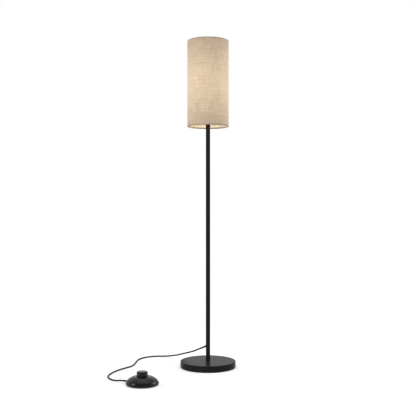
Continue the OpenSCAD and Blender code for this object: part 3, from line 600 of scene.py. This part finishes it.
column = {"diameter": 20, "wall": 1.2, "foot": 30, "top": 1182.5, "tubes": 3, "edge": 0.35,
          "flange": 23, "flangeHeight": 3, "plug": 22, "play": 0.05, "bore": 10.1,
          "outletHeight": 96.5}
# the grooves run over a part of the tail's length and have their full depth over a smaller part
gland = {"length": 22, "root": 9, "tip": 7.8, "bore": 6.9, "outletBore": 7.4, "flange": 11.2,
         "flangeHeight": 2.4, "shank": 3.2, "play": 0.05, "inside": 5, "grooves": 6,
         "grooveDepth": 0.35, "grooved": (0.08, 0.94), "fullDepth": (0.2, 0.86), "tipRound": 0.3}
footSwitch = {"place": (-272, -346), "diameter": 138, "height": 57, "lift": 2.6, "domeHeight": 37,
              "topDiameter": 60, "rimHeight": 10, "power": 1.6, "wall": 2.5, "button": 46.4,
              "buttonPlay": 0.6, "buttonEdge": 5, "buttonWall": 2.5, "flange": 2.5, "flangePlay": 0.3,
              "pad": 122, "padHeight": 2, "padRecess": 80, "hole": 9, "entryHeight": 10}


def makeColumn():
    c = column
    r, wall, edge, bore = c["diameter"] / 2, c["wall"], c["edge"], c["bore"] / 2
    length = (c["top"] - c["foot"]) / c["tubes"]
    for k, name in enumerate(("Lower", "Middle", "Upper")):
        low = c["foot"] + k * length
        outline = rounded([(r - wall, low), (r, low, edge), (r, low + length, edge),
                           (r - wall, low + length)], steps=4)
        dress(turned("column" + name, outline), "satin_black_steel", "column_" + name.lower())
    z, low, high = c["top"], c["top"] - c["plug"], c["top"] + c["flangeHeight"]
    inner, outer = r - wall - c["play"], c["flange"] / 2
    plug = rounded([(bore, low), (inner, low, 0.5), (inner, z), (outer, z, 0.3), (outer, high, 0.8),
                    (bore, high, 0.3)], steps=5)
    dress(turned("columnTop", plug), "satin_black_steel", "column_top")


# A tapered tail with grooves, which stands straight on its housing: radius = taper - depth * groove,
# where a groove is a raised cosine squared.
def tailLine(start):
    s = np.linspace(0, 1, 121)
    (first, last), (fullFrom, fullTo) = gland["grooved"], gland["fullDepth"]
    span = ease(s, first, fullFrom) * (1 - ease(s, fullTo, last))
    wave = (0.5 - 0.5 * np.cos(fullTurn * gland["grooves"] * (s - first) / (last - first))) ** 2
    taper = (gland["root"] + (gland["tip"] - gland["root"]) * s) / 2
    radius = taper - gland["grooveDepth"] * wave * span
    tip = np.clip(1 + (s - 1) * gland["length"] / gland["tipRound"], 0, 1)
    fall = gland["tipRound"] * (1 - np.sqrt(1 - tip ** 2))
    return np.stack([radius - fall, start + s * gland["length"]], 1)


def makeGlands():
    g = gland
    r, bore = column["diameter"] / 2, g["bore"] / 2
    flange, h, shank = g["flange"] / 2, g["flangeHeight"], g["root"] / 2 - g["play"]
    up = np.array([math.sin(drop), 0, -math.cos(drop)])

    # the flange's foot follows the tube: s where a point is as far from the axis as the tube's wall
    def saddle(a, radius, z):
        x, y = radius * np.cos(a) * up[0], radius * np.sin(a)
        s = (np.sqrt(np.maximum(r * r - y * y, 0)) - r + x) / -outletWay[0]
        return radius + 0 * a, z + s * (1 - ease(z, 0.4, h)) * (z > -0.5)

    foot = rounded([(shank, -g["shank"]), (shank, -0.6), (flange, 0), (flange, h, 0.9),
                    (g["root"] / 2, h)], steps=5, closed=False)
    tail = tailLine(0)
    tail = tail[tail[:, 1] > h + 0.2]
    outline = np.vstack([[(bore, -g["shank"])], foot, tail, [(bore, g["length"])]])
    atOutlet = placed((-r, 0, column["outletHeight"]), up, np.array([0, 1, 0]), outletWay)
    dress(turned("columnGland", outline, sides=64, shape=saddle, place=atOutlet), "black_rubber",
          "column_gland")

    across = np.array([-math.sin(entry), math.cos(entry), 0])
    atEntry = placed((*footSwitch["place"], footSwitch["entryHeight"]), across, upWay, entryWay)
    rim = footSwitch["diameter"] / 2
    low = rim - g["inside"]
    outline = np.vstack([[(bore, low), (shank, low), (shank, rim - 0.2)], tailLine(rim),
                         [(bore, rim + g["length"])]])
    dress(turned("switchGland", outline, sides=64, place=atEntry), "black_rubber", "switch_gland")
    bore = g["outletBore"] / 2
    bush = rounded([(bore, low), (shank, low), (shank, rim, 0.3), (bore, rim, 0.3)], steps=4)
    dress(turned("outletBush", bush, sides=64, place=lambda p: atEntry(p * [1, 1, -1])),
          "black_rubber", "outlet_bush")


makeColumn()
makeGlands()
print("base and column made")


def atSwitch(points):
    return points + np.array([*footSwitch["place"], 0])


# The dome between the rim and the flat top:
# ((r - flat) / (rim - flat))^power + ((z - rimHeight) / (top - rimHeight))^power = 1.
def domeLine(rim, top):
    f = footSwitch
    flat, low, power = f["topDiameter"] / 2, f["rimHeight"], 2 / f["power"]
    t = np.linspace(0, math.pi / 2, 49)
    radius, height = (rim - flat) * np.cos(t) ** power, (top - low) * np.sin(t) ** power
    return np.stack([flat + radius, low + height], 1)


# two holes for the flex, cut square through the rim
def cutEntries(cover, rim):
    centre = np.array([*footSwitch["place"], footSwitch["entryHeight"]])
    for side in (1, -1):
        line = centre + side * entryWay * np.linspace(rim - 12, rim + 8, 2)[:, None]
        cutter = gridPiece("cutter", sweptGrid(line, footSwitch["hole"] / 2, 64))
        cut = cover.modifiers.new("hole", "BOOLEAN")
        cut.object = cutter
        cut.operation = "DIFFERENCE"
        cut.solver = "EXACT"
        with bpy.context.temp_override(object=cover):
            bpy.ops.object.modifier_apply(modifier=cut.name)
        bpy.data.objects.remove(cutter)
    cover.data.set_sharp_from_angle(angle=math.radians(30))


# The cover's section is a closed loop from the rim's foot: up the outside, in to the button's hole,
# and back inside at one wall's distance.
def makeSwitch():
    f = footSwitch
    rim, top, wall, lift = f["diameter"] / 2, f["domeHeight"], f["wall"], f["lift"]
    hole = f["button"] / 2 + f["buttonPlay"]
    inner, under = rim - wall, top - wall
    outline = rounded([
        (inner, lift, 0.3), (rim - 1.9, lift, 0.3), (rim, lift + 3, 3.2), *domeLine(rim, top),
        (hole, top, 0.7), (hole, under, 0.3), *domeLine(inner, under)[::-1]], steps=12)
    cover = turned("switchCover", outline, sides=192, place=atSwitch)
    cutEntries(cover, rim)
    dress(cover, "black_gloss_abs", "switch_cover")

    r, h, thick, skirt = f["button"] / 2, f["height"], f["buttonWall"], hole + f["flange"]
    low = under - f["flangePlay"] - f["flange"]
    high = low + f["flange"]
    cup = toAxis([(1, h - thick), (r - thick, h - thick, 2), (r - thick, low, 0.3), (skirt, low, 0.3),
                  (skirt, high, 0.3), (r, high, 0.4), (r, h, f["buttonEdge"]), (1, h)], steps=12)
    dress(turned("switchButton", cup, sides=160, place=atSwitch), "black_gloss_abs", "switch_button",
          body="button")
    r, h, recess = f["pad"] / 2, f["padHeight"], f["padRecess"] / 2
    pad = toAxis([(recess, 0.3), (recess + 1, 0, 0.3), (r, 0, 0.4), (r, h, 0.4), (30, h)], steps=4)
    dress(turned("switchPad", pad, sides=128, place=atSwitch), "black_rubber", "switch_pad")


makeSwitch()

spring = {"diameter": 30, "wire": 1.6, "seat": 9, "top": 54.5, "turns": 7, "travel": 5, "steps": 64}


# x = R cos t, y = R sin t, and the height rises evenly; both ends of the wire are rounded
def makeSpring():
    turns, r, wire = spring["turns"], spring["diameter"] / 2, spring["wire"] / 2
    t = np.linspace(0, 1, spring["steps"] * turns + 1)
    a = fullTurn * turns * t
    height = spring["top"] - spring["seat"]
    path = np.stack([r * np.cos(a), r * np.sin(a), spring["seat"] + wire + (height - 2 * wire) * t], 1)
    away = np.minimum(t, 1 - t) * fullTurn * turns * r
    radius = wire * np.sqrt(1 - np.clip(1 - away / wire, 0, 1) ** 2)
    piece = dress(gridPiece("buttonSpring", atSwitch(sweptGrid(path, radius, 12))), "spring_steel",
                  "button_spring")
    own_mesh(piece)


makeSpring()
print("foot switch made")

holder = {"diameter": 39, "cap": 1185.5, "body": 1207.5, "bodyHeight": 44, "wall": 2.2,
          "flangeLow": 10, "flange": 48, "flangeHeight": 2.5, "crown": 6, "bore": 10.1, "pitch": 3,
          "depth": 0.7, "gripRibs": 40, "gripDepth": 0.35, "gripLow": 8, "gripHigh": 4,
          "gripFade": 1.5, "play": 0.05, "ring": 54, "ringLow": 1223.05, "ringHeight": 9,
          "ringRibs": 36, "ringDepth": 0.7}


def makeHolder():
    h = holder
    r, wall, cap, body = h["diameter"] / 2, h["wall"], h["cap"], h["body"]
    bore, crown, floor = h["bore"] / 2, h["crown"], cap + wall * 1.5
    outline = rounded([(bore, cap, 0.4), (r - crown, cap, 2), (r, cap + crown, 2), (r, body, 0.4),
                       (r - wall, body), (r - wall, cap + crown), (r - crown - wall, floor),
                       (bore, floor)], steps=6)
    low, high, fade = cap + h["gripLow"], body - h["gripHigh"], h["gripFade"]
    ribs = ribShape(h["gripRibs"], h["gripDepth"], lambda radius, z: (
        (radius > r - 0.2) * ease(z, low, low + fade) * (1 - ease(z, high, high + fade))))
    dress(turned("holderCap", finer(outline, 0.5), sides=320, shape=ribs), "black_thermoset",
          "holder_cap")
    top, foot = body + h["bodyHeight"], body + h["flangeLow"]
    head, flange = foot + h["flangeHeight"], h["flange"] / 2
    outline = np.vstack([
        rounded([(r - wall, body), (r, body, 0.4), (r, foot, 0.3), (flange, foot, 0.6),
                 (flange, head, 0.6), (r, head)], steps=4, closed=False),
        wallLine(r, head + 1, top - 0.8, 0.35), [(r - 0.6, top), (r - wall, top)]])
    thread = threadShape(r, head + 1, top - 0.5, h["pitch"], h["depth"])
    dress(turned("holderBody", outline, shape=thread), "black_thermoset", "holder_body")
    outer, inner, z, top = h["ring"] / 2, r + h["play"], h["ringLow"], h["ringLow"] + h["ringHeight"]
    outline = rounded([(inner, z, 0.3), (outer, z, 0.8), (outer, top, 1.2), (inner, top, 0.4)], steps=5)
    grip = ribShape(h["ringRibs"], h["ringDepth"],
                    lambda radius, z: ease(radius, outer - 1.4, outer - 0.4))
    dress(turned("shadeRing", outline, sides=h["ringRibs"] * 12, shape=grip), "black_thermoset",
          "shade_ring")


makeHolder()

bulb = {"tip": 1221.9, "tipHeight": 2, "tipDiameter": 9.6, "insulator": 5, "insulatorFoot": 11,
        "capLow": 1228.9, "capTop": 1248.9, "capDiameter": 26, "capWall": 0.8, "pitch": 3.6,
        "threadDepth": 0.75, "spigot": 8, "play": 0.05, "step": 0.4, "flare": 1.15, "neck": 42,
        "neckTop": 1268.9, "globe": 60, "globeWall": 1.2, "join": 0.62, "top": 1329.9}


def makeBulb():
    b = bulb
    r, wall, foot, cap = b["capDiameter"] / 2, b["capWall"], b["capLow"], b["capTop"]
    # the tip is the cap of a ball: its radius is (rim^2 + height^2) / (2 height)
    rim, high = b["tipDiameter"] / 2, b["tipHeight"]
    ball = (rim ** 2 + high ** 2) / (2 * high)
    last = -math.degrees(math.acos(rim / ball))
    low = b["tip"] + high
    tip = np.vstack([arcLine(0, b["tip"] + ball, ball, -90, last, 10), [(0, low)]])
    dress(turned("bulbTip", tip, sides=48), "nickel_cap", "bulb_tip", body="bulb")
    top = low + b["insulator"]
    glass = toAxis([(1, low), (b["insulatorFoot"] / 2, low, 0.4), (r - 2, top, 0.8), (1, top)], steps=5)
    dress(turned("bulbInsulator", glass, sides=64), "black_glass", "bulb_insulator", body="bulb")
    outline = np.vstack([[(r - wall - 1, foot + 0.3), (r - 1.2, foot)],
                         wallLine(r, foot + 0.9, cap - 0.2, 0.3),
                         [(r - wall, cap), (r - wall, foot + 2.5)]])
    screw = threadShape(r, foot + 1, cap - 2, b["pitch"], b["threadDepth"])
    dress(turned("bulbCap", outline, shape=screw), "nickel_cap", "bulb_cap", body="bulb")
    neck, top, spigot = b["neck"] / 2, b["neckTop"], r - wall - b["play"]
    s = np.linspace(0, 1, 24)
    start = r + b["step"]
    flare = np.stack([start + (neck - start) * s ** b["flare"], cap + (top - cap) * s], 1)
    low = cap - b["spigot"]
    outline = np.vstack([[(0, low), (spigot, low), (spigot, cap)], flare, [(0, top)]])
    dress(turned("bulbNeck", outline), "white_plastic", "bulb_neck", body="bulb")
    # each wall of the globe is an arc that joins the neck with a short cone
    big = b["globe"] / 2
    centre = b["top"] - big
    join = -math.degrees(math.asin((centre - top) / big * b["join"]))
    outer, inner = (np.vstack([[(neck - thick, top)], arcLine(0, centre, big - thick, join, 90, 40)])
                    for thick in (0, b["globeWall"]))
    dress(turned("bulbGlobe", np.vstack([inner[::-1], outer])), "opal_diffuser", "bulb_globe",
          body="bulb")


makeBulb()
print("lampholder and bulb made")

shade = {"diameter": 190, "low": 1105, "high": 1500, "sides": 360, "cloth": 0.8, "play": 0.02,
         "overlap": 12, "overlapEase": (0.6, 1.2), "liftRun": 8, "hemTail": 3.5, "hemLean": 2.6,
         "liner": 0.4, "linerInset": 6, "linerPlay": 0.03, "tape": 12, "tapeThick": 0.45,
         "wire": 3, "wireRing": 92.25, "spokes": 3, "spokeAngle": 53, "spokeTop": (26.5, 1221.5),
         "weld": 0.9, "weldReach": 1.6, "fitter": 1220, "fitterOuter": 50, "fitterInner": 40}
wireHeights = (shade["low"] + shade["wire"] / 2 + shade["cloth"],
               shade["high"] - shade["wire"] / 2 - shade["cloth"])


# The cloth's middle line in (radius, height), from the inside edge of the lower hem over the wire, up
# the drum, over the upper wire and down again: a half ellipse round each wire, then a tail that
# leans back to the lining.
def clothLine():
    s = shade
    out = s["diameter"] / 2 - s["cloth"] / 2
    wireLow = wireHeights[0]
    half = (out - (s["wireRing"] - s["wire"] / 2 - s["cloth"] / 2)) / 2
    middle = out - half
    deep = s["wire"] / 2 + s["cloth"] / 2
    a = np.linspace(math.pi, fullTurn, 17)
    hook = np.stack([middle + half * np.cos(a), wireLow + deep * np.sin(a)], 1)
    t = np.linspace(0, 1, 9)[:-1]
    tail = np.stack([middle - half + (1 - t) ** 2 * s["hemLean"], wireLow + s["hemTail"] * (1 - t)], 1)
    rise = np.linspace(wireLow, (s["low"] + s["high"]) / 2, 24)[1:]
    lower = np.vstack([tail, hook, np.stack([0 * rise + out, rise], 1)])
    upper = lower[::-1][1:] * [1, -1] + [0, s["low"] + s["high"]]
    return np.vstack([lower, upper])


# The cloth goes once round and overlaps itself at the back, where its end lies on its start. Each
# section is the middle line moved half a thickness to both sides, a closed loop. On the drum's wall
# the end is lifted by the cloth's own thickness, and in the hems both layers are pressed to half.
def makeCloth():
    s = shade
    line = clothLine()
    along = unit(np.gradient(line, axis=0))
    normal = np.stack([along[:, 1], -along[:, 0]], 1)
    half, play, length = s["cloth"] / 2, s["play"], runOf(line)
    lap, back = s["overlap"] / (s["diameter"] / 2), math.pi / 2
    soon, late = (share * lap for share in s["overlapEase"])
    angle = back - lap / 2 + (fullTurn + lap) * np.linspace(0, 1, s["sides"] + 1)
    under = 1 - ease(angle, back + soon, back + late)[:, None]
    over = ease(angle, back + fullTurn - late, back + fullTurn - soon)[:, None]
    wire = s["wire"] / 2 + s["cloth"]
    inFrom = np.minimum(line[:, 1] - s["low"] - wire, s["high"] - wire - line[:, 1])
    wall = ease(inFrom, 0, s["liftRun"]) * (line[:, 0] > s["wireRing"] + s["wire"] / 2)
    lift, press = over * wall * (2 * half + play), (1 - wall) * (half + play / 2)
    sheet = [line + face[:, :, None] * normal
             for face in (half - under * press + lift, -half + over * press + lift)]
    section = np.concatenate([sheet[0], sheet[1][:, ::-1]], 1)
    radius, height = section[:, :, 0], section[:, :, 1]
    grid = np.stack([radius * np.cos(angle)[:, None], radius * np.sin(angle)[:, None], height], -1)
    girth = (angle - angle[0]) * s["diameter"] / 2
    across = np.concatenate([length, length[::-1], length[:1]])
    cloth = dress(gridPiece("shadeCloth", grid, uv=(girth * mm, across * mm), sharp=60), "linen",
                  "shade_fabric", "shade_trims")
    return cloth, float(length[-1])


def makeLining():
    s = shade
    inner = s["diameter"] / 2 - s["cloth"] - s["liner"]
    outer = inner + s["liner"] - s["linerPlay"]
    low, high = s["low"] + s["linerInset"], s["high"] - s["linerInset"]
    outline = rounded([(inner, low), (outer, low), (outer, high), (inner, high)])
    dress(turned("shadeLining", outline, sides=s["sides"]), "lining", "shade_liner")
    # the tape that closes the lining at the back: its thickness dies away as 1 - u^8 towards its edges
    u = np.linspace(-1, 1, 25)
    a = math.pi / 2 + u * s["tape"] / 2 / inner
    face = inner - 0.06 - (s["tapeThick"] - 0.01) * (1 - u ** 8)
    a, r = np.append(a, a[::-1]), np.append(0 * u + inner - 0.05, face)
    tape = np.stack([np.stack([r * np.cos(a), r * np.sin(a), 0 * r + z], 1)
                     for z in (low + s["linerInset"], high - s["linerInset"])])
    dress(gridPiece("shadeTape", tape), "lining", "shade_seam")


def makeFrame():
    s = shade
    ring, wire, wires = s["wireRing"], s["wire"], []
    for name, node, z in (("shadeBottomWire", "shade_bottom_ring", wireHeights[0]),
                          ("shadeTopWire", "shade_top_ring", wireHeights[1])):
        circle = arcLine(ring, z, wire / 2, 0, 360, 24)[:-1]
        wires.append(dress(turned(name, circle, sides=240), "white_wire", node))
    low, end = np.array([ring, wireHeights[0]]), np.array(s["spokeTop"])
    start = low + unit(end - low) * (wire / 2 + 0.05)
    t = np.linspace(0, 1, 121)
    away = np.minimum(t, 1 - t) * np.linalg.norm(end - start)
    weld = s["weld"] * np.exp(-(away / s["weldReach"]) ** 2)  # the bead of weld at each end
    line = start + (end - start) * t[:, None]
    spokes = []
    for k in range(s["spokes"]):
        a = math.radians(s["spokeAngle"] + 360 / s["spokes"] * k)
        path = np.stack([line[:, 0] * math.cos(a), line[:, 0] * math.sin(a), line[:, 1]], 1)
        spokes.append(sweptGrid(path, wire / 2 + weld, 20, (-math.sin(a), math.cos(a), 0)))
    dress(gridPiece("shadeSpokes", spokes), "white_wire", "shade_spokes")
    outer, inner, z = s["fitterOuter"] / 2, s["fitterInner"] / 2, s["fitter"]
    top = z + wire
    outline = rounded([(inner, z, 0.4), (outer, z, 0.8), (outer, top, 0.8), (inner, top, 0.4)])
    dress(turned("shadeFitter", outline, sides=120), "white_wire", "shade_fitter")
    return wires


cloth, clothLength = makeCloth()
makeLining()
wires = makeFrame()
print("shade made")

# the inner pieces keep their CAD shape and take the finish of their slot
for subpart in frame["record"]["subparts"]:
    node = frame["nodes"][subpart["node"]]
    if not node.hide_render:
        for holding in node.material_slots:
            holding.material = finishes[subpart["material_slot"]]

# A pale floor that fades into the white round it, and soft light from all sides. To the eye, and in
# what is seen in gloss, the floor adds a little light of its own, so that it reads white but keeps
# the lamp's shadow. The backdrop is white to the eye and in gloss; behind the camera the room is dim.
# Each box has its place, its two sides and its power in W.
studio = {"floor": "dededd", "floorRadius": 1500, "floorFade": 1000, "floorLift": 0.38,
          "floorHeight": -0.3, "floorSides": 96, "ambient": 0.55, "backdrop": 1, "room": 0.45,
          "roomEdge": (-0.5, 0.3), "aim": (0, 0, 500),
          "boxes": (((-2590, -1280, 1600), (1000, 1300), 30), ((2630, 430, 1600), (1400, 1300), 28),
                    ((0, -400, 3800), (3400, 3400), 36))}


def makeFloor():
    s = studio
    a = np.linspace(0, fullTurn, s["floorSides"], endpoint=False)
    r = s["floorRadius"]
    ring = np.stack([r * np.cos(a), r * np.sin(a), 0 * a + s["floorHeight"]], 1)
    mesh = bpy.data.meshes.new("floor")
    mesh.from_pydata((ring * mm).tolist(), [], [list(range(s["floorSides"]))])
    floor = bpy.data.objects.new("floor", mesh)
    bpy.context.scene.collection.objects.link(floor)
    material, tree, shader = startMaterial("paperFloor")
    rays = addNode(tree, "LightPath").outputs
    seen = calc(tree, "MAXIMUM", rays["Is Camera Ray"], rays["Is Glossy Ray"])
    seen = calc(tree, "MAXIMUM", seen, rays["Is Transmission Ray"])
    feed(tree, shader, {"Base Color": linear(s["floor"]), "Roughness": 0.9, "Specular IOR Level": 0,
                        "Emission Color": (1, 1, 1, 1),
                        "Emission Strength": calc(tree, "MULTIPLY", seen, s["floorLift"])})
    place = addNode(tree, "TexCoord").outputs["Object"]
    away = addNode(tree, "VectorMath", {0: place}, operation="LENGTH").outputs["Value"]
    fade = remap(tree, away, (s["floorFade"] * mm, r * mm), interpolation_type="SMOOTHSTEP")
    clear = addNode(tree, "BsdfTransparent").outputs[0]
    mix = addNode(tree, "MixShader", {0: fade, 1: shader.outputs[0], 2: clear}).outputs[0]
    feed(tree, tree.nodes["Material Output"], {0: mix})
    floor.data.materials.append(material)


def makeWorld():
    world = bpy.data.worlds.new("studio")
    world.use_nodes = True
    tree = world.node_tree
    rays = addNode(tree, "LightPath").outputs
    way = addNode(tree, "SeparateXYZ", {0: addNode(tree, "TexCoord").outputs["Object"]}).outputs[1]
    behind = remap(tree, way, studio["roomEdge"], (studio["room"], studio["backdrop"]),
                   interpolation_type="SMOOTHSTEP")
    gloss = addNode(tree, "Mix", {0: rays["Is Glossy Ray"], 2: studio["ambient"], 3: behind}).outputs[0]
    straight = calc(tree, "MAXIMUM", rays["Is Camera Ray"], rays["Is Transmission Ray"])
    strength = addNode(tree, "Mix", {0: straight, 2: gloss, 3: studio["backdrop"]}).outputs[0]
    feed(tree, tree.nodes["Background"], {"Color": (1, 1, 1, 1), "Strength": strength})
    bpy.context.scene.world = world


def makeLights():
    for k, (place, size, power) in enumerate(studio["boxes"]):
        light = bpy.data.lights.new("softbox%d" % k, "AREA")
        light.shape = "RECTANGLE"
        light.size, light.size_y = (x * mm for x in size)
        light.energy = power
        box = bpy.data.objects.new("softbox%d" % k, light)
        box.location = [x * mm for x in place]
        aim = np.array(studio["aim"]) - place
        box.rotation_euler = (math.acos(-aim[2] / np.linalg.norm(aim)), 0, math.atan2(-aim[0], aim[1]))
        bpy.context.scene.collection.objects.link(box)


makeFloor()
makeWorld()
makeLights()
bpy.context.scene.view_settings.view_transform = "Standard"
print("studio made")
